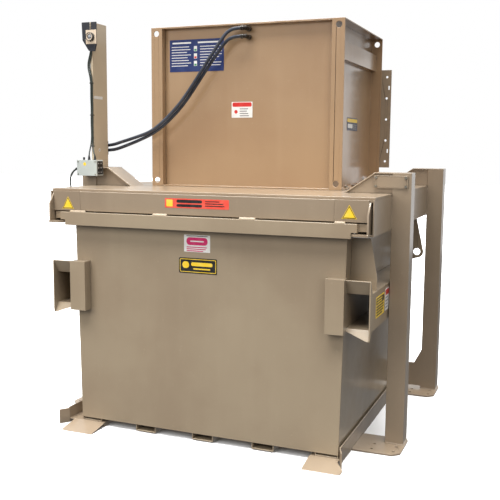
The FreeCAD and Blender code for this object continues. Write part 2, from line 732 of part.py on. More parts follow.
def mast_head():
    """Black shield on the mast's front edge, with the sensor plate on its face."""
    left = "-1193"
    right = "-1070"
    outline = [(left, "head_top"), ("-1188", "head_top - 127"), ("-1137", "head_top - 201"),
               ("-1118", "head_top - 207"), ("-1084", "head_top - 207"), (right, "head_top - 159"),
               (right, "head_top")]
    shield = prism("XZ", outline, "head_y", "head_y + 8")
    slot = box(("-1129", "-1114"), ("head_y - 1", "head_y + 9"), ("head_top - 56", "head_top + 1"))
    block = box(("-mast_out", "-mast_in"), ("head_y + 8", "mast_front"), ("head_top - 121", "head_top - 51"))
    node("sensor_shield", fuse(cut(shield, slot), block))
    plate = box(("-1154", "-1068"), ("head_y - 7", "head_y"), ("2664", "2763"))
    barrel = rod("y", "-1113", "head_y - 27", "2713", "25", "20")
    dish = rod("y", "-1113", "head_y - 28", "2713", "20", "8")
    node("sensor_plate", fuse(plate, cut(barrel, dish)))
    node("sensor_lens", rod("y", "-1113", "head_y - 24", "2713", "19.7", "3.8"))


def junction_box():
    left = "-box_in - box_wide"
    span = ("box_low", "box_low + box_tall")
    body = box((left, "-box_in"), ("box_y + 22", "box_y + box_deep"), span)
    hollow = box(("%s + 4" % left, "-box_in - 4"), ("box_y + 21", "box_y + box_deep - 4"),
                 ("box_low + 4", "box_low + box_tall - 4"))
    node("junction_box", cut(body, hollow))
    lid = box((left, "-box_in"), ("box_y", "box_y + 21.8"), span)
    screws = [rod("y", x, "box_y - 2", z, "5", "3") for x in ("%s + 12" % left, "-box_in - 12")
              for z in ("box_low + 12", "box_low + box_tall - 12")]
    node("junction_box_lid", fuse(lid, *screws))
    arms = [box(("-1200 + %d" % step, "-1192 + %d" % step), ("box_y + box_deep", "leg_y_left - 6"),
                ("1722", "1764")) for step in (0, 64)]
    back = box(("-1200", "-1128"), ("leg_y_left - 6", "leg_y_left"), ("1722", "1764"))
    node("junction_box_bracket", fuse(*arms, back))
    glands = []
    for x in ("-1134", "-1084"):
        stub = rod("z", x, "456", "box_low + box_tall", "9", "10")
        cap = rod("z", x, "456", "box_low + box_tall + 10", "7", "12")
        glands.append(cut(fuse(stub, cap), rod("z", x, "456", "box_low + box_tall - 1", "5.3", "30")))
    glands.append(rod("z", "-1178", "456", "box_low + box_tall", "7.5", "20"))
    side_gland = rod("x", "%s - 12" % left, "456", "1769", "9", "12")
    glands.append(side_gland)
    glands.append(rod("x", "-1140", "456", "1538", "9", "22"))
    node("cable_glands", group(glands))


LEAD_RADIUS = 5.0
BOX_LEAD_RADIUS = 6.5
MAST_CABLE_LEFT = [(-1134, 493, 2696), (-1129, 493, 2655), (-1129, 492.5, 2615), (-1140, 492, 2575),
                   (-1152, 492, 2535), (-1153, 492, 2492), (-1142, 492, 2450), (-1134.5, 493, 2410),
                   (-1132, 493, 2366), (-1134, 493, 2290), (-1131, 493, 2200), (-1135, 493, 2110),
                   (-1132, 493, 2010), (-1135, 491, 1954), (-1138, 480, 1916), (-1136, 464, 1886),
                   (-1134, 456, 1858), (-1134, 456, 1832)]
MAST_CABLE_RIGHT = [(-1122.5, 493, 2696), (-1117.5, 493, 2655), (-1117.5, 492.5, 2615),
                    (-1128, 492, 2573), (-1140, 492, 2533), (-1141, 492, 2494), (-1130, 492, 2452),
                    (-1123, 493, 2410), (-1120.5, 493, 2366), (-1122.5, 493, 2290),
                    (-1119.5, 493, 2200), (-1123.5, 493, 2110), (-1120.5, 493, 2010),
                    (-1123, 491, 1956), (-1118, 482, 1920), (-1103, 469, 1890), (-1088, 459, 1862),
                    (-1084, 456, 1832)]
BOX_LEAD = [(-1223, 456, 1769), (-1253, 456, 1760), (-1278, 456, 1740), (-1296, 456, 1711),
            (-1303, 456, 1672), (-1299, 456, 1628), (-1279, 456, 1588), (-1244, 456, 1558),
            (-1198, 456, 1542), (-1140, 456, 1538)]


def build():
    container_shell()
    container_rim()
    for side in SIDES:
        fork_pocket(side)
        container_ear(side)
    skids = []
    for index in range(5):
        low = "floor_top + 0.4" if index in (0, 4) else "skid_low"
        skids.append(container_skid("%d * skid_pitch" % (index - 2), low))
    node("container_skids", group(skids))
    front_beam()
    rear_beam()
    deck()
    for side in SIDES:
        side_channel(side)
        floor_guide(side)
        entry_ramp(side)
        house_side(side)
        mounting_strip(side)
        cylinder(side)
    for corner in LEGS:
        leg(corner)
        foot_plate(corner)
    leg_cover()
    house_panels()
    house_bolts()
    head_beams()
    ram()
    hose_fittings()
    mast()
    mast_head()
    junction_box()
    cord("hose_upper", HOSE_UPPER, HOSE_RADIUS)
    cord("hose_lower", HOSE_LOWER, HOSE_RADIUS)
    cord("mast_cable_left", MAST_CABLE_LEFT, LEAD_RADIUS)
    cord("mast_cable_right", MAST_CABLE_RIGHT, LEAD_RADIUS)
    cord("box_lead", BOX_LEAD, BOX_LEAD_RADIUS)


def check_and_export():
    doc.recompute()
    for item in doc.Objects:
        if "Invalid" in item.State or "Error" in item.State:
            raise RuntimeError("failed feature: %s %s" % (item.Name, item.State))
    os.makedirs("parts", exist_ok=True)
    total = FreeCAD.BoundBox()
    for name, thing in nodes:
        shape = thing.Shape
        if shape.isNull() or not shape.isValid():
            raise RuntimeError("bad shape: " + name)
        total.add(shape.BoundBox)
    for name, thing in nodes:
        thing.Shape.exportStep("parts/%s.step" % name)
    print("nodes", len(nodes), "bounds", total)


build()
check_and_export()
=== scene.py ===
"""Looks of the vertical trash compactor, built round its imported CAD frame."""
import math
import random

import bmesh
import bpy
from mathutils import Matrix, Vector


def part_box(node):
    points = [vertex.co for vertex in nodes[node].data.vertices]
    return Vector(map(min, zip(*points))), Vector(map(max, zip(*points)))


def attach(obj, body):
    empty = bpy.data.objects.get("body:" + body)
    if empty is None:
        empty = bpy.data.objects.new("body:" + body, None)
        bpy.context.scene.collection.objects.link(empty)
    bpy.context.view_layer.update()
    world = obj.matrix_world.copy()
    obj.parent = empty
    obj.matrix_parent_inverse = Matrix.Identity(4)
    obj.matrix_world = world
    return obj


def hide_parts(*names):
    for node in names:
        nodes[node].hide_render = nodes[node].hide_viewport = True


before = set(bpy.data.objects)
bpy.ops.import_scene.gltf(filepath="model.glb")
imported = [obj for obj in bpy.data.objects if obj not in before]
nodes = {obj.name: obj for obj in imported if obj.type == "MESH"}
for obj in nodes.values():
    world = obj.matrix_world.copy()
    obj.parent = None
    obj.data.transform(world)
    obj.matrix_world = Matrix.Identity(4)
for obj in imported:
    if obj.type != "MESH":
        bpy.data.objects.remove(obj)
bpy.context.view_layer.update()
FRONT = -0.846          # y of the container's front sheet; every Y below is millimetres back from it
MM = 0.001
SIDES = (("left", -1), ("right", 1))
random.seed(7)


def at(x, y, z):
    """Millimetres, with y measured back from the container's front sheet, to frame metres."""
    return Vector((x * MM, FRONT + y * MM, z * MM))


# ---------------------------------------------------------------- camera

CAMERA_PLACE = (2.162, -5.3964, 1.919)
CAMERA_TURN = (22.15, 7.28, 0.41)      # yaw to the left, pitch down and roll, in degrees
CAMERA_LENS = 57.18                    # mm, for a film 36 mm wide
CAMERA_SHIFT = (0.0062, 0.0005)


def make_camera():
    """The camera that the photograph's corners were fitted with."""
    yaw, pitch, roll = (math.radians(turn) for turn in CAMERA_TURN)
    look = Vector((-math.sin(yaw) * math.cos(pitch), math.cos(yaw) * math.cos(pitch), -math.sin(pitch)))
    level = Vector((math.cos(yaw), math.sin(yaw), 0))
    above = level.cross(look)
    right = level * math.cos(roll) + above * math.sin(roll)
    up = above * math.cos(roll) - level * math.sin(roll)
    data = bpy.data.cameras.new("camera")
    data.lens = CAMERA_LENS
    data.sensor_width = 36
    data.shift_x, data.shift_y = CAMERA_SHIFT
    data.clip_end = 100
    camera = bpy.data.objects.new("camera", data)
    axes = Matrix((right, up, -look)).transposed().to_4x4()
    camera.matrix_world = Matrix.Translation(CAMERA_PLACE) @ axes
    bpy.context.scene.collection.objects.link(camera)
    bpy.context.scene.camera = camera


make_camera()

# ---------------------------------------------------------------- materials

# Sockets of the Mix node, which share their names and are told apart by place only.
MIX_FACTOR = 0
MIX_VALUES = (2, 3)
MIX_COLOURS = (6, 7)
MIX_COLOUR_OUT = 2
MASK_SAMPLES = 4        # rays that the edge and crevice masks cast


class Paint:
    """A small helper that wires one procedural material."""

    def __init__(self, name):
        self.material = bpy.data.materials.new(name)
        self.material.use_nodes = True
        self.tree = self.material.node_tree
        self.tree.nodes.clear()
        output = self.add("ShaderNodeOutputMaterial")
        self.shader = self.add("ShaderNodeBsdfPrincipled")
        self.tree.links.new(self.shader.outputs[0], output.inputs[0])
        self.coords = self.add("ShaderNodeTexCoord").outputs["Object"]

    def add(self, kind):
        return self.tree.nodes.new(kind)

    def put(self, socket, value):
        """Links a node's output, or sets a plain value."""
        if isinstance(value, bpy.types.NodeSocket):
            self.tree.links.new(value, socket)
        else:
            socket.default_value = value

    def set(self, name, value):
        self.put(self.shader.inputs[name], value)

    def noise(self, scale, detail=4, stretch=(1, 1, 1)):
        """Cloudy pattern from 0 to 1 in object coordinates; a larger scale gives smaller clouds."""
        place = self.add("ShaderNodeMapping")
        self.put(place.inputs["Vector"], self.coords)
        place.inputs["Scale"].default_value = stretch
        cloud = self.add("ShaderNodeTexNoise")
        self.put(cloud.inputs["Vector"], place.outputs[0])
        cloud.inputs["Scale"].default_value = scale
        cloud.inputs["Detail"].default_value = detail
        cloud.inputs["Roughness"].default_value = 0.55
        return cloud.outputs["Fac"]

    def span(self, value, low, high, start=0.0, end=1.0):
        """Value between low and high, eased into start to end."""
        step = self.add("ShaderNodeMapRange")
        step.interpolation_type = "SMOOTHSTEP"
        self.put(step.inputs["Value"], value)
        step.inputs["From Min"].default_value = low
        step.inputs["From Max"].default_value = high
        step.inputs["To Min"].default_value = start
        step.inputs["To Max"].default_value = end
        return step.outputs[0]

    def math(self, kind, a, b):
        node = self.add("ShaderNodeMath")
        node.operation = kind
        self.put(node.inputs[0], a)
        self.put(node.inputs[1], b)
        return node.outputs[0]

    def mix(self, factor, a, b):
        node = self.add("ShaderNodeMix")
        node.data_type = "RGBA"
        self.put(node.inputs[MIX_FACTOR], factor)
        for place, colour in zip(MIX_COLOURS, (a, b)):
            self.put(node.inputs[place], colour)
        return node.outputs[MIX_COLOUR_OUT]

    def edges(self, radius):
        """Near 1 on corners and edges, 0 on flat faces."""
        bevel = self.add("ShaderNodeBevel")
        bevel.samples = MASK_SAMPLES
        bevel.inputs["Radius"].default_value = radius
        dot = self.add("ShaderNodeVectorMath")
        dot.operation = "DOT_PRODUCT"
        self.put(dot.inputs[0], bevel.outputs[0])
        self.put(dot.inputs[1], self.add("ShaderNodeNewGeometry").outputs["Normal"])
        return self.span(dot.outputs["Value"], 0.995, 0.9)

    def crevices(self, distance):
        """Near 1 in inside corners and narrow gaps."""
        shade = self.add("ShaderNodeAmbientOcclusion")
        shade.samples = MASK_SAMPLES
        shade.inputs["Distance"].default_value = distance
        return self.span(shade.outputs["AO"], 0.85, 0.35)

    def bump(self, height, distance, strength):
        node = self.add("ShaderNodeBump")
        node.inputs["Strength"].default_value = strength
        node.inputs["Distance"].default_value = distance
        self.put(node.inputs["Height"], height)
        self.put(self.shader.inputs["Normal"], node.outputs[0])


def rgb(red, green, blue):
    """An sRGB colour out of 255, as the linear colour a shader takes."""
    linear = []
    for value in (red, green, blue):
        share = value / 255
        linear.append(share / 12.92 if share <= 0.04045 else ((share + 0.055) / 1.055) ** 2.4)
    return (*linear, 1.0)


# Dark brown that crevices and narrow gaps are darkened towards: painted shade.
CREVICE_SHADE_TONE = rgb(58, 47, 38)
BRIGHT_METAL = rgb(225, 222, 214)


def gloss_paint(name, base, pale, dust, rough=(0.3, 0.46)):
    """Sprayed gloss enamel on steel plate: cloudy tone, rain streaks, dust, rubbed edges, orange peel, and
    painted shade that darkens crevices.
    """
    m = Paint(name)
    cloud = m.span(m.noise(1.3, 4), 0.36, 0.64)
    tone = m.mix(cloud, base, pale)
    streak = m.span(m.noise(7, 4, (1, 1, 0.12)), 0.45, 0.85, 0, 0.09)
    tone = m.mix(streak, tone, dust)
    speck = m.span(m.noise(48, 3), 0.62, 0.8, 0, 0.12)
    tone = m.mix(speck, tone, dust)
    # Painted shade: an occlusion mask, broken up by noise, darkens crevices and narrow gaps.
    crevice_shade = m.math("MULTIPLY", m.crevices(0.012), m.span(m.noise(14, 4), 0.3, 0.7, 0.15, 0.5))
    tone = m.mix(crevice_shade, tone, CREVICE_SHADE_TONE)
    worn = m.math("MULTIPLY", m.edges(0.005), m.span(m.noise(22, 5), 0.46, 0.66))
    tone = m.mix(m.math("MULTIPLY", worn, 0.45), tone, dust)
    m.set("Base Color", tone)
    patch = m.span(m.noise(3.2, 4), 0.3, 0.75, rough[0], rough[1])
    m.set("Roughness", m.math("ADD", patch, m.math("MULTIPLY", m.math("ADD", streak, crevice_shade), 0.3)))
    m.set("Coat Weight", 0.7)
    m.set("Coat Roughness", 0.15)
    peel = m.math("MULTIPLY", m.noise(420, 2), 0.16)
    wave = m.noise(2.6, 2)
    m.bump(m.math("ADD", wave, m.math("MULTIPLY", peel, 0.05)), 0.005, 0.35)
    return m.material


def bare_metal(name, base, dark, rough, grain=(1, 1, 1), scale=60):
    """Steel, chromed or plated: brushed grain, tarnish in patches, brighter along edges."""
    m = Paint(name)
    brush = m.noise(scale, 5, grain)
    tone = m.mix(m.span(m.noise(7, 4), 0.35, 0.7), base, dark)
    tone = m.mix(m.math("MULTIPLY", m.edges(0.002), 0.6), tone, BRIGHT_METAL)
    m.set("Base Color", tone)
    m.set("Metallic", 1.0)
    m.set("Roughness", m.span(brush, 0.3, 0.7, rough[0], rough[1]))
    m.bump(brush, 0.0006, 0.5)
    return m.material


def moulded(name, base, scuffed, rough, scale=300, depth=0.0004):
    """Moulded plastic, rubber or vinyl: fine texture, faded patches, scuffed edges."""
    m = Paint(name)
    grain = m.noise(scale, 3)
    faded = m.span(m.noise(9, 4), 0.35, 0.75, 0, 0.4)
    rub = m.math("MULTIPLY", m.edges(0.0015), m.span(m.noise(45, 3), 0.4, 0.65, 0, 0.7))
    tone = m.mix(m.math("MAXIMUM", faded, rub), base, scuffed)
    m.set("Base Color", tone)
    m.set("Roughness", m.span(m.noise(12, 4), 0.3, 0.7, rough[0], rough[1]))
    m.bump(grain, depth, 0.6)
    return m.material


def sticker(name, base, faded, rough=(0.28, 0.5)):
    """Printed vinyl: slightly cloudy ink, dusty specks and a faint wrinkle."""
    m = Paint(name)
    cloud = m.span(m.noise(26, 4), 0.35, 0.75, 0, 0.55)
    speck = m.span(m.noise(380, 2), 0.66, 0.76, 0, 0.5)
    m.set("Base Color", m.mix(m.math("MAXIMUM", cloud, speck), base, faded))
    m.set("Roughness", m.span(m.noise(40, 3), 0.3, 0.7, rough[0], rough[1]))
    m.bump(m.noise(30, 2), 0.0008, 0.35)
    return m.material


FRAME_PAINT = gloss_paint("frame_enamel", rgb(135, 118, 98), rgb(144, 127, 106), rgb(190, 174, 150))
BIN_PAINT = gloss_paint("container_enamel", rgb(144, 127, 105), rgb(153, 137, 114), rgb(192, 176, 150),
                        (0.29, 0.42))
HOUSING_PAINT = gloss_paint("housing_enamel", rgb(148, 118, 87), rgb(156, 127, 95), rgb(200, 174, 142))
# The frame's paint made much lighter for the mast: painted light, standing in for the light and reflections
# that the mast's side catches.
LIT_MAST_PAINT = gloss_paint("mast_enamel_lit", rgb(186, 168, 142), rgb(198, 181, 154), rgb(214, 200, 176))
RAM_PAINT = gloss_paint("ram_enamel", rgb(140, 116, 92), rgb(150, 128, 104), rgb(120, 112, 104), (0.4, 0.7))
CYLINDER_PAINT = gloss_paint("cylinder_enamel", rgb(44, 44, 46), rgb(60, 60, 62), rgb(110, 104, 96))
CHROME = bare_metal("chromed_rod", rgb(205, 206, 208), rgb(180, 182, 186), (0.06, 0.16), (1, 1, 0.1), 90)
ZINC = bare_metal("zinc_plate", rgb(176, 172, 160), rgb(140, 134, 120), (0.28, 0.5))
DARK_STEEL = bare_metal("oiled_steel", rgb(92, 90, 88), rgb(60, 56, 52), (0.35, 0.6))
RUBBER = moulded("hose_cover", rgb(38, 42, 52), rgb(86, 92, 104), (0.32, 0.5), 700, 0.0006)
SHEATH = moulded("cable_sheath", rgb(44, 50, 46), rgb(92, 98, 92), (0.4, 0.6), 500, 0.0003)
BOX_GREY = moulded("box_plastic", rgb(172, 178, 174), rgb(196, 200, 194), (0.35, 0.55), 420)
BLACK = moulded("black_plastic", rgb(34, 34, 36), rgb(84, 82, 80), (0.35, 0.55), 420)
SHIELD = moulded("shield_plastic", rgb(38, 40, 47), rgb(66, 64, 64), (0.3, 0.5), 300)
TAN_PLASTIC = moulded("sensor_bracket", rgb(206, 186, 162), rgb(226, 210, 188), (0.3, 0.5), 300)
TIE = moulded("tie_nylon", rgb(24, 24, 26), rgb(70, 70, 70), (0.35, 0.5), 500)
GREY_CAP = moulded("grey_cap", rgb(150, 150, 148), rgb(186, 186, 182), (0.4, 0.6), 400)
INK = {
    "blue": sticker("vinyl_blue", rgb(30, 44, 92), rgb(48, 62, 108)),
    "navy": sticker("vinyl_navy", rgb(34, 42, 66), rgb(62, 68, 88)),
    "white": sticker("vinyl_white", rgb(226, 224, 220), rgb(204, 198, 188)),
    "red": sticker("vinyl_red", rgb(196, 44, 40), rgb(204, 84, 72)),
    "coral": sticker("vinyl_coral", rgb(222, 74, 60), rgb(226, 112, 92)),
    "magenta": sticker("vinyl_magenta", rgb(196, 40, 96), rgb(206, 84, 124)),
    "yellow": sticker("vinyl_yellow", rgb(236, 196, 44), rgb(230, 204, 104)),
    "green": sticker("vinyl_green", rgb(56, 132, 84), rgb(96, 150, 112)),
    "black": sticker("vinyl_black", rgb(26, 26, 28), rgb(62, 60, 58)),
    "grey": sticker("vinyl_grey", rgb(120, 118, 116), rgb(150, 146, 140)),
}


def lens_glass():
    """Silvered sensor lens, slightly mottled, under a clear coat."""
    m = Paint("sensor_glass")
    tone = m.mix(m.span(m.noise(90, 3), 0.35, 0.7), rgb(206, 206, 208), rgb(150, 152, 158))
    m.set("Base Color", tone)
    m.set("Metallic", 0.85)
    m.set("Roughness", m.span(m.noise(140, 3), 0.3, 0.7, 0.1, 0.24))
    m.set("Coat Weight", 1.0)
    m.set("Coat Roughness", 0.03)
    m.bump(m.noise(120, 2), 0.0004, 0.4)
    return m.material


LENS = lens_glass()

# ---------------------------------------------------------------- building pieces

def settle(name, mesh, body, materials):
    """Wraps a mesh or curve as a named piece that rides on a body."""
    for material in materials:
        mesh.materials.append(material)
    piece = bpy.data.objects.new(name, mesh)
    bpy.context.scene.collection.objects.link(piece)
    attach(piece, body)
    return piece


def smooth(mesh, angle):
    """Smooth faces, with the edges sharper than angle kept sharp."""
    work = bmesh.new()
    work.from_mesh(mesh)
    bmesh.ops.recalc_face_normals(work, faces=work.faces)
    for face in work.faces:
        face.smooth = True
    for edge in work.edges:
        if len(edge.link_faces) == 2 and edge.calc_face_angle(0) > math.radians(angle):
            edge.smooth = False
    work.to_mesh(mesh)
    work.free()


def from_shape(name, points, faces, body, materials, angle, marks=()):
    """A mesh piece. Marks are the material numbers of its faces, and angle is where smoothing stops."""
    mesh = bpy.data.meshes.new(name)
    mesh.from_pydata([tuple(point) for point in points], [], faces)
    for index, mark in enumerate(marks):
        mesh.polygons[index].material_index = mark
    smooth(mesh, angle)
    return settle(name, mesh, body, materials)


def rounded(width, height, corner, steps=5):
    """Outline of a rounded rectangle round the origin, anticlockwise."""
    outline = []
    for turn, (sx, sy) in enumerate(((1, 1), (-1, 1), (-1, -1), (1, -1))):
        for step in range(steps + 1):
            angle = math.pi / 2 * (turn + step / steps)
            outline.append((sx * (width / 2 - corner) + corner * math.cos(angle),
                            sy * (height / 2 - corner) + corner * math.sin(angle)))
    return outline


LABEL_GAP = 0.02        # mm between the surface and the back of a label
INK_STEP = 0.2          # mm that each layer of ink stands above the one under it


def label(name, body, facing, face, centre, size, patches, corner=4, thick=0.9, base="white"):
    """
    A printed plate on the plane at face, which looks to the front or the right.
    Patches are (u, v, width, height, ink, corner) from its centre; corner can also be "triangle".
    """
    points, faces, marks, inks, placed = [], [], [], [base], []
    wide, tall = size
    layers = [(0, 0, wide, tall, base, corner)] + list(patches)
    for u, v, width, height, ink, radius in layers:
        if ink not in inks:
            inks.append(ink)
        under = [level for a, b, w, h, level in placed
                 if abs(a - u) * 2 < w + width and abs(b - v) * 2 < h + height]
        level = 1 + max(under, default=-1)
        placed.append((u, v, width, height, level))
        front = face + thick + INK_STEP * level
        back = face + LABEL_GAP
        first = len(points)
        if radius == "triangle":
            outline = [(width / 2, -height / 2), (0, height / 2), (-width / 2, -height / 2)]
        else:
            outline = rounded(width, height, min(radius, width / 2.01, height / 2.01))
        for depth in (back, front):
            for a, b in outline:
                across, up = centre[0] + u + a, centre[1] + v + b
                points.append(at(across, -depth, up) if facing == "front" else at(depth, across, up))
        count = len(outline)
        ring = range(count)
        faces.append([first + count + i for i in ring])
        faces.append([first + i for i in reversed(ring)])
        faces.extend([first + i, first + (i + 1) % count, first + count + (i + 1) % count,
                      first + count + i] for i in ring)
        marks.extend([inks.index(ink)] * (count + 2))
    from_shape(name, points, faces, body, [INK[ink] for ink in inks], 30, marks)


def lathe(name, profile, base, axis, material, sides):
    """Turned shape on the frame: profile is (radius, distance along the axis) in mm from base."""
    turn = Vector(axis).normalized().to_track_quat("Z", "Y").to_matrix()
    points, faces = [], []
    for radius, along in profile:
        for step in range(sides):
            spin = 2 * math.pi * step / sides
            local = Vector((radius * math.cos(spin), radius * math.sin(spin), along)) * MM
            points.append(base + turn @ local)
    for row in range(len(profile) - 1):
        for step in range(sides):
            a, b = row * sides + step, row * sides + (step + 1) % sides
            faces.append([a, b, b + sides, a + sides])
    faces.append([len(points) - sides + i for i in range(sides)])
    faces.append([i for i in reversed(range(sides))])
    return from_shape(name, points, faces, "frame", [material], 38)


WELD_PITCH = 6.5        # mm from one ripple of a bead to the next
WELD_SIDES = 7          # points round a bead


def weld(name, material, runs, radius):
    """Weld beads on the frame, a little more than half round; each run is (start, end, outward)."""
    points, faces = [], []
    for start, end, outward in runs:
        line = end - start
        length = line.length / MM
        along = line.normalized()
        lift = Vector(outward).normalized()
        side = along.cross(lift)
        rings = max(4, int(length / WELD_PITCH * 2))
        first = len(points)
        for ring in range(rings + 1):
            share = ring / rings
            swell = radius * (1.0 + 0.13 * (ring % 2) + random.uniform(-0.07, 0.07))
            if ring in (0, rings):
                swell *= 0.35
            middle = start + line * share
            for step in range(WELD_SIDES):
                spin = math.pi * (step / 6 * 1.3 - 0.15)
                points.append(middle + (side * math.cos(spin) + lift * math.sin(spin)) * swell * MM)
        for ring in range(rings):
            row = first + ring * WELD_SIDES
            for step in range(WELD_SIDES):
                a, b = row + step, row + (step + 1) % WELD_SIDES
                faces.append([a, b, b + WELD_SIDES, a + WELD_SIDES])
        faces.append([first + i for i in range(WELD_SIDES)])
        faces.append([first + rings * WELD_SIDES + i for i in reversed(range(WELD_SIDES))])
    from_shape(name, points, faces, "frame", [material], 70)


# ---------------------------------------------------------------- cords, in the routes of the frame

def cord_piece(name, route, radius, material, length, stiffness, slot):
    """A hose or cable along its route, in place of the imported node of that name."""
    curve = bpy.data.curves.new(name + "_cover", "CURVE")
    curve.dimensions = "3D"
    curve.bevel_depth = radius * MM
    curve.bevel_resolution = 5
    curve.resolution_u = 14
    spline = curve.splines.new("NURBS")
    spline.points.add(len(route) - 1)
    for point, place in zip(spline.points, route):
        point.co = (*at(*place), 1.0)
    spline.order_u = 3
    spline.use_endpoint_u = True
    piece = settle(name + "_cover", curve, "frame", [material])
    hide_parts(name)


HOSE_UPPER = [(-8, 640, 2746), (-53, 640, 2746), (-95.6, 640, 2731.4), (-131, 638, 2703.7),
              (-242, 618, 2541), (-345, 610, 2388), (-460, 602, 2234), (-594, 596, 2106),
              (-696, 596, 2036), (-806, 604, 2003), (-900, 634, 1981), (-998, 676, 1962),
              (-1085, 712, 1942), (-1170, 726, 1935)]
HOSE_LOWER = [(-8, 640, 2690), (-53, 640, 2690), (-95.7, 640, 2675.9), (-131.8, 641, 2649),
              (-219, 642, 2541), (-331, 636, 2385), (-446, 630, 2227), (-583, 624, 2096),
              (-688, 622, 2025), (-822, 630, 1972), (-908, 652, 1946), (-1000, 682, 1921),
              (-1085, 713, 1903), (-1170, 726, 1900)]
MAST_CABLE_LEFT = [(-1134, 493, 2696), (-1129, 493, 2655), (-1129, 492.5, 2615), (-1140, 492, 2575),
                   (-1152, 492, 2535), (-1153, 492, 2492), (-1142, 492, 2450), (-1134.5, 493, 2410),
                   (-1132, 493, 2366), (-1134, 493, 2290), (-1131, 493, 2200), (-1135, 493, 2110),
                   (-1132, 493, 2010), (-1135, 491, 1954), (-1138, 480, 1916), (-1136, 464, 1886),
                   (-1134, 456, 1858), (-1134, 456, 1832)]
MAST_CABLE_RIGHT = [(-1122.5, 493, 2696), (-1117.5, 493, 2655), (-1117.5, 492.5, 2615),
                    (-1128, 492, 2573), (-1140, 492, 2533), (-1141, 492, 2494), (-1130, 492, 2452),
                    (-1123, 493, 2410), (-1120.5, 493, 2366), (-1122.5, 493, 2290),
                    (-1119.5, 493, 2200), (-1123.5, 493, 2110), (-1120.5, 493, 2010),
                    (-1123, 491, 1956), (-1118, 482, 1920), (-1103, 469, 1890), (-1088, 459, 1862),
                    (-1084, 456, 1832)]
BOX_LEAD = [(-1223, 456, 1769), (-1253, 456, 1760), (-1278, 456, 1740), (-1296, 456, 1711),
            (-1303, 456, 1672), (-1299, 456, 1628), (-1279, 456, 1588), (-1244, 456, 1558),
            (-1198, 456, 1542), (-1140, 456, 1538)]


# Each cord's route, radius in mm, material, length in m, stiffness and slot.
CORDS = {
    "hose_upper": (HOSE_UPPER, 12, RUBBER, 1.523, "stiff", "hose_rubber"),
    "hose_lower": (HOSE_LOWER, 12, RUBBER, 1.490, "stiff", "hose_rubber"),
    "mast_cable_left": (MAST_CABLE_LEFT, 5, SHEATH, 0.875, "medium", "cable_sheath"),
    "mast_cable_right": (MAST_CABLE_RIGHT, 5, SHEATH, 0.881, "medium", "cable_sheath"),
    "box_lead": (BOX_LEAD, 6.5, SHEATH, 0.376, "medium", "cable_sheath"),
}


def cords():
    for name, facts in CORDS.items():
        cord_piece(name, *facts)


cords()


# ---------------------------------------------------------------- carried-over nodes

MERGE_WITHIN = 0.00002      # m
BEVEL_FROM = 38             # degrees; shallower corners stay sharp


def finish_node(name, material, edge):
    """New material, and a small rounded edge, of that width in metres, that catches light."""
    node = nodes[name]
    node.data.materials.clear()
    node.data.materials.append(material)
    merge = node.modifiers.new("weld", "WELD")
    merge.merge_threshold = MERGE_WITHIN
    bevel = node.modifiers.new("bevel", "BEVEL")
    bevel.width = edge
    bevel.segments = 2
    bevel.limit_method = "ANGLE"
    bevel.angle_limit = math.radians(BEVEL_FROM)
    bevel.use_clamp_overlap = True
    bevel.harden_normals = False
    normals = node.modifiers.new("normals", "WEIGHTED_NORMAL")
    normals.weight = 60
    normals.keep_sharp = False


# The material and edge width of every node whose name begins like this.
SURFACES = {
    "container_shell": (BIN_PAINT, 0.003),
    "container_rim": (BIN_PAINT, 0.003),
    "container_skids": (BIN_PAINT, 0.002),
    "fork_pocket": (BIN_PAINT, 0.002),
    "container_ear": (BIN_PAINT, 0.0015),
    "front_beam": (FRAME_PAINT, 0.003),
    "rear_beam": (FRAME_PAINT, 0.003),
    "deck_plate": (FRAME_PAINT, 0.002),
    "throat_frame": (FRAME_PAINT, 0.002),
    "side_channel": (FRAME_PAINT, 0.003),
    "floor_guide": (FRAME_PAINT, 0.002),
    "entry_ramp": (FRAME_PAINT, 0.002),
    "mounting_strip": (FRAME_PAINT, 0.0012),
    "leg_front": (FRAME_PAINT, 0.003),
    "leg_rear": (FRAME_PAINT, 0.003),
    "foot_plate": (FRAME_PAINT, 0.0015),
    "leg_cover": (FRAME_PAINT, 0.001),
    "housing": (HOUSING_PAINT, 0.002),
    "head_beams": (HOUSING_PAINT, 0.002),
    "control_mast": (LIT_MAST_PAINT, 0.002),
    "leg_cover_bolts": (ZINC, 0.0004),
    "housing_bolts": (ZINC, 0.0004),
    "hose_elbows": (DARK_STEEL, 0.0005),
    "hose_bulkhead": (DARK_STEEL, 0.0008),
    "sensor_shield": (SHIELD, 0.0008),
    "sensor_plate": (TAN_PLASTIC, 0.0008),
    "sensor_lens": (LENS, 0.0006),
    "junction_box": (BOX_GREY, 0.003),
    "junction_box_lid": (BOX_GREY, 0.002),
    "junction_box_bracket": (ZINC, 0.0008),
    "cable_glands": (BLACK, 0.0005),
    "ram_platen": (RAM_PAINT, 0.003),
    "cylinder_rod": (CHROME, 0.0005),
    "cylinder_stage": (CHROME, 0.0005),
    "cylinder_barrel": (CYLINDER_PAINT, 0.001),
}


def surface_of(name):
    """The entry under the longest listed beginning of the node's name."""
    found = [key for key in SURFACES if name.startswith(key)]
    return SURFACES[max(found, key=len)]


def finish_nodes():
    for name in sorted(nodes):
        if name not in CORDS:
            finish_node(name, *surface_of(name))


finish_nodes()


# ---------------------------------------------------------------- printed plates, with no lettering

def bars(left, top, count, width, height, gap, ink, ragged=0.35):
    """Rows of plain bars where the real plate has print."""
    rows = []
    for row in range(count):
        long = width * (1 - ragged * random.random())
        rows.append((left + long / 2, top - row * (height + gap), long, height, ink, height / 2))
    return rows


# Planes that plates lie on: to the front, mm ahead of the container's front sheet; to the right, mm from
# the middle.
HOUSING_FRONT = -718
HOUSING_RIGHT = 642
BEAM_FRONT = 45
CORNER_FRONT = 49
SHEET_FRONT = 0
POCKET_RIGHT = 1112
MAST_RIGHT = -1118
BOX_FRONT = -412
BOX_RIGHT = -1043


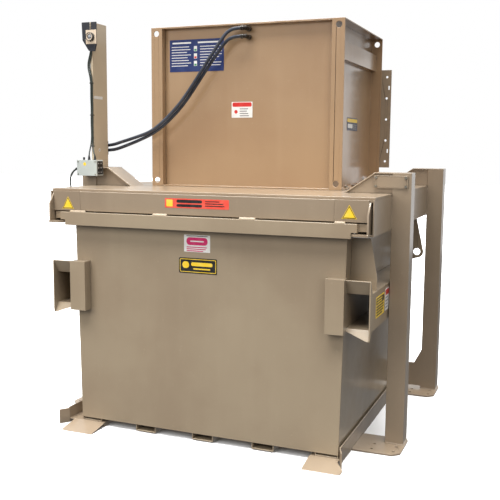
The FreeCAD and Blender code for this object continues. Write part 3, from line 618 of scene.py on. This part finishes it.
def housing_labels():
    """The blue sign and the small notice on the housing's front."""
    sign = [(-118, 90, 150, 11, "white", 2), (96, 90, 170, 11, "white", 2)]
    sign += bars(-200, 62, 8, 160, 5, 14, "white") + bars(28, 62, 8, 176, 5, 14, "white")
    for row, ink in enumerate(("green", "red", "green")):
        sign += [(-8, 48 - 52 * row, 24, 36, "white", 2), (-8, 39 - 52 * row, 18, 14, ink, 2)]
    label("sign_plate", "frame", "front", HOUSING_FRONT, (-384, 2582.5), (430, 227), sign, 3, 1.6, "blue")
    notice = [(0, 36, 147, 30, "red", 10), (-46, -14, 36, 44, "white", 4), (-46, -14, 26, 26, "red", 13)]
    notice += bars(-18, 6, 4, 84, 7, 9, "grey")
    label("notice_plate", "frame", "front", HOUSING_FRONT, (-27.5, 2193), (159, 110), notice, 2)


def beam_labels():
    """The long strip in the middle of the front beam, and a triangle near each of its ends."""
    strip = [(-190, 0, 44, 44, "yellow", 4)]
    strip += bars(-140, 13, 1, 180, 20, 6, "black", 0) + bars(-140, -14, 1, 180, 18, 6, "black", 0)
    strip += bars(60, 16, 3, 140, 6, 8, "black")
    label("beam_strip", "frame", "front", BEAM_FRONT, (-17.5, 1573), (447, 60), strip, 3, 0.8, "coral")
    triangle = [(0, -1.5, 84, 74, "black", "triangle"), (0, -3, 70, 61, "yellow", "triangle")]
    for name, x, z in (("left", -975, 1551), ("right", 972, 1558)):
        label("corner_mark_" + name, "frame", "front", CORNER_FRONT, (x, z), (92, 82), triangle,
              "triangle", 0.8, "yellow")


def container_labels():
    notice = [(0, 14, 150, 50, "magenta", 22), (0, 14, 96, 8, "white", 3), (0, 48, 150, 6, "grey", 2)]
    notice += bars(-74, -24, 3, 148, 6, 6, "magenta", 0.25)
    label("container_notice", "container", "front", SHEET_FRONT, (-35, 1315), (184, 110), notice, 3)
    maker = [(0, 0, 256, 86, "yellow", 8), (0, 0, 248, 78, "black", 6), (-86, 4, 48, 44, "yellow", 20),
             (28, 10, 150, 24, "yellow", 10), (28, -20, 120, 9, "yellow", 4)]
    label("maker_plate", "container", "front", SHEET_FRONT, (-29, 1171), (270, 100), maker, 8, 1.2, "black")


def right_side_labels():
    """The plates on the housing's right side and on the right fork pocket."""
    side = [(0, 26, 280, 26, "yellow", 6), (-60, -14, 130, 30, "white", 5)]
    side += bars(20, -4, 3, 110, 7, 7, "grey")
    label("side_label", "frame", "right", HOUSING_RIGHT, (1222, 2103), (296, 93), side, 6, 0.9, "navy")
    yellow = [(0, 36, 206, 40, "black", 6)] + bars(-90, 44, 2, 170, 8, 8, "yellow")
    yellow += bars(-100, 2, 4, 196, 9, 8, "black", 0.25)
    label("pocket_mark_yellow", "container", "right", POCKET_RIGHT, (208, 971), (226, 130), yellow, 4, 0.9,
          "yellow")
    red = [(0, 46, 94, 36, "red", 6)] + bars(-42, 12, 4, 84, 9, 12, "grey")
    label("pocket_mark_red", "container", "right", POCKET_RIGHT, (398, 979), (106, 142), red, 8, 0.9)


def mast_labels():
    """Small plates on the mast and on the junction box."""
    label("mast_tag", "frame", "right", MAST_RIGHT, (566, 2286), (117, 22), [(0, 0, 109, 14, "white", 2)],
          3, 0.7)
    label("mast_spot", "frame", "right", MAST_RIGHT, (572, 1902), (24, 24), [(0, 0, 11, 11, "grey", 5.5)],
          12, 0.7)
    label("box_mark", "frame", "front", BOX_FRONT, (-1144, 1800), (24, 24), [(0, 0, 17, 17, "yellow", 8.5)],
          12, 0.5, "yellow")
    places = [(u, v) for u in (-20, 12) for v in (-32, 0, 32)]
    ports = [(u, v, 13, 13, "grey", 6.5) for u, v in places] + [(u, v, 6, 6, "white", 3) for u, v in places]
    label("box_port_plate", "frame", "right", BOX_RIGHT, (458, 1773), (70, 96), ports, 6, 1.5, "black")


housing_labels()
beam_labels()
container_labels()
right_side_labels()
mast_labels()


# ---------------------------------------------------------------- small fittings

TIE_WIDE, TIE_DEEP = 27, 22         # inside the loop, mm
TIE_BAND, TIE_THICK = 5.2, 1.6


def tie(name, x, y, z):
    """A nylon tie round the mast's front edge and its cables, with its head and tail."""
    corner = min(TIE_WIDE, TIE_DEEP) / 3
    inner = rounded(TIE_WIDE, TIE_DEEP, corner)
    outer = rounded(TIE_WIDE + 2 * TIE_THICK, TIE_DEEP + 2 * TIE_THICK, corner + TIE_THICK)
    points, faces = [], []
    half = TIE_BAND / 2
    for ring, level in ((inner, -half), (outer, -half), (outer, half), (inner, half)):
        points.extend(at(x + a, y + b, z + level) for a, b in ring)
    count = len(inner)
    for band_row in range(4):
        low, high = band_row * count, (band_row + 1) % 4 * count
        faces.extend([low + i, low + (i + 1) % count, high + (i + 1) % count, high + i]
                     for i in range(count))
    first = len(points)
    face = y - TIE_DEEP / 2 - TIE_THICK
    head = rounded(9, 8, 1.5, 3)
    for depth in (0, -7):
        points.extend(at(x + a, face + depth, z + b) for a, b in head)
    ring = len(head)
    faces.append([first + ring + i for i in range(ring)])
    faces.append([first + i for i in reversed(range(ring))])
    faces.extend([first + i, first + (i + 1) % ring, first + ring + (i + 1) % ring, first + ring + i]
                 for i in range(ring))
    first = len(points)
    for a, b in ((0, -2), (13, -2.6), (13, 2.6), (0, 2)):
        points.append(at(x + 4 + a, face - 4 - a * 0.5, z + b))
        points.append(at(x + 4 + a, face - 2.8 - a * 0.5, z + b))
    faces.extend([[first + i for i in quad] for quad in
                  ((0, 2, 4, 6), (1, 3, 5, 7), (0, 1, 3, 2), (2, 3, 5, 4), (4, 5, 7, 6), (6, 7, 1, 0))])
    from_shape(name, points, faces, "frame", [TIE], 50)


BOOT = [(5.2, 0), (9.5, 0), (9.8, 6), (8.2, 10), (8.6, 13), (7.2, 17), (7.6, 20), (6.4, 25), (5.3, 30),
        (5.1, 31)]
# Each boot's place, the way it points, and how much wider it is than BOOT.
BOOTS = {
    "left": ((-1134, 456, 1832), (0, 0, 1), 0),
    "right": ((-1084, 456, 1832), (0, 0, 1), 0),
    "lead_top": ((-1223, 456, 1769), (-1, 0, -0.25), 1.5),
    "sensor_left": ((-1134, 493, 2696), (0, 0, -1), 0),
    "sensor_right": ((-1122.5, 493, 2696), (0, 0, -1), 0),
}
PLUG = [(17, 0), (17.4, 1.5), (16.6, 3), (12, 4.4), (6, 5), (2, 5.1)]
HOOD = [(31, 0), (31.4, 4), (31, 20), (29.6, 22), (26.6, 22), (25.4, 20), (25.4, 5), (1, 5)]
DOME = [(24.8, 4), (24.8, 9), (22.4, 12.5), (17, 15.8), (10, 17.8), (3, 18.6), (0.5, 18.7)]
SCREW = [(5.5, -1), (5.5, 0.6), (4.6, 1.4), (3.2, 1.5), (3.0, 0.7), (1, 0.7)]
SCREW_INSET = 11        # mm from the lid's edges
SENSOR_EYE = (-1113, 471, 2713)
TO_FRONT = (0, -1, 0)


def fittings():
    for index, z in enumerate((2387, 2156, 1931), 1):
        tie("mast_tie_%d" % index, -1127, 496, z)
    for name, (place, axis, wider) in BOOTS.items():
        profile = [(radius + wider, along) for radius, along in BOOT]
        lathe("boot_" + name, profile, at(*place), axis, BLACK, 20)
    lathe("wall_plug", PLUG, at(642, 1591, 1692), (1, 0, 0), GREY_CAP, 26)
    lathe("lens_hood", HOOD, at(*SENSOR_EYE), TO_FRONT, BLACK, 36)
    dome = lathe("lens_dome", DOME, at(*SENSOR_EYE), TO_FRONT, LENS, 36)
    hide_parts("sensor_lens")
    low, high = (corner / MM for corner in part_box("junction_box_lid"))
    places = [(x, z) for z in (low.z + SCREW_INSET, high.z - SCREW_INSET)
              for x in (low.x + SCREW_INSET, high.x - SCREW_INSET)]
    for index, (x, z) in enumerate(places):
        base = Vector((x, low.y, z)) * MM
        lathe("lid_screw_%d" % index, SCREW, base, TO_FRONT, ZINC, 18)


fittings()


PAD_SECTION = ((-70, 1489.6), (-50.5, 1489.6), (-50.5, 1501), (-56, 1502.5), (-68, 1495))      # Y, Z
PAD_SPANS = ((-952, -835), (-322, -221), (281, 387), (887, 952))
RIM_TOP = 1490


def rim_pads():
    """Short sloped pads along the front edge of the container's rim, with chamfered ends."""
    points, faces = [], []
    corners = len(PAD_SECTION)
    for low, high in PAD_SPANS:
        first = len(points)
        for x in (low, low + 3, high - 3, high):
            inset = 2.0 if x in (low, high) else 0.0
            points.extend(at(x, y + inset, z - inset * 0.6 * (z > RIM_TOP)) for y, z in PAD_SECTION)
        for bay in range(3):
            row = first + bay * corners
            faces.extend([row + i, row + (i + 1) % corners, row + corners + (i + 1) % corners,
                          row + corners + i] for i in range(corners))
        faces.append([first + i for i in range(corners)])
        faces.append([first + 3 * corners + i for i in reversed(range(corners))])
    from_shape("rim_pads", points, faces, "container", [BIN_PAINT], 25)


rim_pads()


LEG_IN, LEG_OUT, LEG_SIZE = 1118, 1238, 120
LEG_FRONT_Y = {"left": 520, "right": 437}
LEG_REAR_Y = 1747
FOOT_BEAD = 13          # Z of the beads round a leg, on its foot plate
LEG_BEAD = (1420, 1624)     # Z range of the upright beads between a leg and its side channel
MAST_BEAD = 1777        # Z of the beads under the mast
DECK_BEAD = 1645        # Z of the beads between the housing and the deck
STRIP_BEADS = (2531, 2658)      # Z of the beads below and above the strip on the housing's right side
HOUSING_RUN = (722, 1782)       # Y range of all the beads along the housing


def leg_seams(side, way):
    """Beads round the feet of one side's legs and up their joints. The rear leg's back edge has none."""
    runs = []
    inner, outer = way * LEG_IN, way * LEG_OUT
    outs = ((0, -1, 0), (way, 0, 0), (0, 1, 0), (-way, 0, 0))
    for near, turns in ((LEG_FRONT_Y[side], (0, 1, 2, 3)), (LEG_REAR_Y, (0, 1, 3))):
        far = near + LEG_SIZE
        corners = ((inner, near), (outer, near), (outer, far), (inner, far))
        for turn in turns:
            (ax, ay), (bx, by) = corners[turn], corners[(turn + 1) % 4]
            out = Vector(outs[turn]) + Vector((0, 0, 1))
            runs.append((at(ax, ay, FOOT_BEAD), at(bx, by, FOOT_BEAD), out))
        upright = [(near, -1)] if near == LEG_REAR_Y else [(near, -1), (far, 1)]
        runs.extend((at(inner, y, LEG_BEAD[0]), at(inner, y, LEG_BEAD[1]), (way, turned, 0))
                    for y, turned in upright)
    return runs


def seams():
    """Weld beads where the plates meet."""
    frame_runs = [run for side, way in SIDES for run in leg_seams(side, way)]
    frame_runs.append((at(-1118, 500, MAST_BEAD), at(-1118, 690, MAST_BEAD), (1, 0, 1)))
    frame_runs.append((at(-1138, 500, MAST_BEAD), at(-1118, 500, MAST_BEAD), (0, -1, 1)))
    weld("frame_welds", FRAME_PAINT, frame_runs, 4.5)
    near, far = HOUSING_RUN
    below, above = STRIP_BEADS
    housing_runs = [(at(x, near, z), at(x, far, z), out) for x, z, out in (
        (642, DECK_BEAD, (1, 0, 1)),
        (-642, DECK_BEAD, (-1, 0, 1)),
        (643, below, (1, 0, -1)),
        (643, above, (1, 0, 1)),
    )]
    weld("housing_welds", HOUSING_PAINT, housing_runs, 4)


seams()


# ---------------------------------------------------------------- floor, lights, world

FLOOR_REACH = 40        # m each way
SUN_WIDTH = 60          # degrees across, for soft shadows
FILL = 0.17             # strength of the background as diffuse light
REFLECTED = {"From Min": -0.12, "From Max": 0.3, "To Min": 0.22, "To Max": 0.85}


def floor():
    """A pale floor that shadows fall on, which sends no light or reflection back to the object."""
    reach = FLOOR_REACH
    mesh = bpy.data.meshes.new("studio_floor")
    mesh.from_pydata([(-reach, -reach, 0), (reach, -reach, 0), (reach, reach, 0), (-reach, reach, 0)], [],
                     [(0, 1, 2, 3)])
    m = Paint("pale_floor")
    m.set("Base Color", m.mix(m.noise(0.6, 2), rgb(246, 246, 246), rgb(250, 250, 250)))
    m.set("Roughness", 0.7)
    m.set("Specular IOR Level", 0.2)
    mesh.materials.append(m.material)
    ground = bpy.data.objects.new("studio_floor", mesh)
    bpy.context.scene.collection.objects.link(ground)
    ground.visible_diffuse = False
    ground.visible_glossy = False


def light(name, place, target, size, power):
    """A soft box aimed at target, in metres and watts. Only back_right shows in reflections."""
    data = bpy.data.lights.new(name, "AREA")
    data.shape = "RECTANGLE"
    data.size, data.size_y = size
    data.energy = power
    lamp = bpy.data.objects.new(name, data)
    lamp.location = place
    lamp.visible_camera = False
    lamp.visible_glossy = name == "back_right"
    lamp.rotation_euler = (Vector(target) - Vector(place)).to_track_quat("-Z", "Y").to_euler()
    bpy.context.scene.collection.objects.link(lamp)


def room(tree):
    """Sets the background: white to the camera, a pale room over a grey floor in reflections, dim as fill."""
    back = tree.nodes["Background"]
    back.inputs["Color"].default_value = (1, 1, 1, 1)
    seen = tree.nodes.new("ShaderNodeLightPath")
    way = tree.nodes.new("ShaderNodeTexCoord")
    split = tree.nodes.new("ShaderNodeSeparateXYZ")
    tree.links.new(way.outputs["Generated"], split.inputs[0])
    rise = tree.nodes.new("ShaderNodeMapRange")
    rise.interpolation_type = "SMOOTHSTEP"
    tree.links.new(split.outputs["Z"], rise.inputs["Value"])
    for name, value in REFLECTED.items():
        rise.inputs[name].default_value = value
    otherwise, chosen = MIX_VALUES
    shiny = tree.nodes.new("ShaderNodeMix")
    shiny.inputs[otherwise].default_value = FILL
    tree.links.new(rise.outputs[0], shiny.inputs[chosen])
    tree.links.new(seen.outputs["Is Glossy Ray"], shiny.inputs[MIX_FACTOR])
    direct = tree.nodes.new("ShaderNodeMix")
    direct.inputs[chosen].default_value = 1.0
    tree.links.new(shiny.outputs[0], direct.inputs[otherwise])
    tree.links.new(seen.outputs["Is Camera Ray"], direct.inputs[MIX_FACTOR])
    tree.links.new(direct.outputs[0], back.inputs["Strength"])


def studio():
    floor()
    light("key", (-2.6, -6.4, 3.9), (-0.4, 0, 1.5), (4.5, 3.5), 285)
    light("fill_right", (4.6, -5.2, 3.4), (0, 0, 1.6), (3, 3), 110)
    light("back_right", (4.8, 7.8, 1.8), (0.9, 0, 1.2), (6, 3.4), 45)
    light("back_left", (-3.4, 8.4, 3.6), (0, 0, 1.6), (4, 3), 120)
    sky = bpy.data.lights.new("sky_top", "SUN")
    sky.energy = 9.6
    sky.angle = math.radians(SUN_WIDTH)
    lamp = bpy.data.objects.new("sky_top", sky)
    lamp.rotation_euler = (math.radians(6), math.radians(-4), 0)
    bpy.context.scene.collection.objects.link(lamp)
    world = bpy.data.worlds.new("studio")
    world.use_nodes = True
    room(world.node_tree)
    bpy.context.scene.world = world
    bpy.context.scene.view_settings.view_transform = "Standard"


studio()
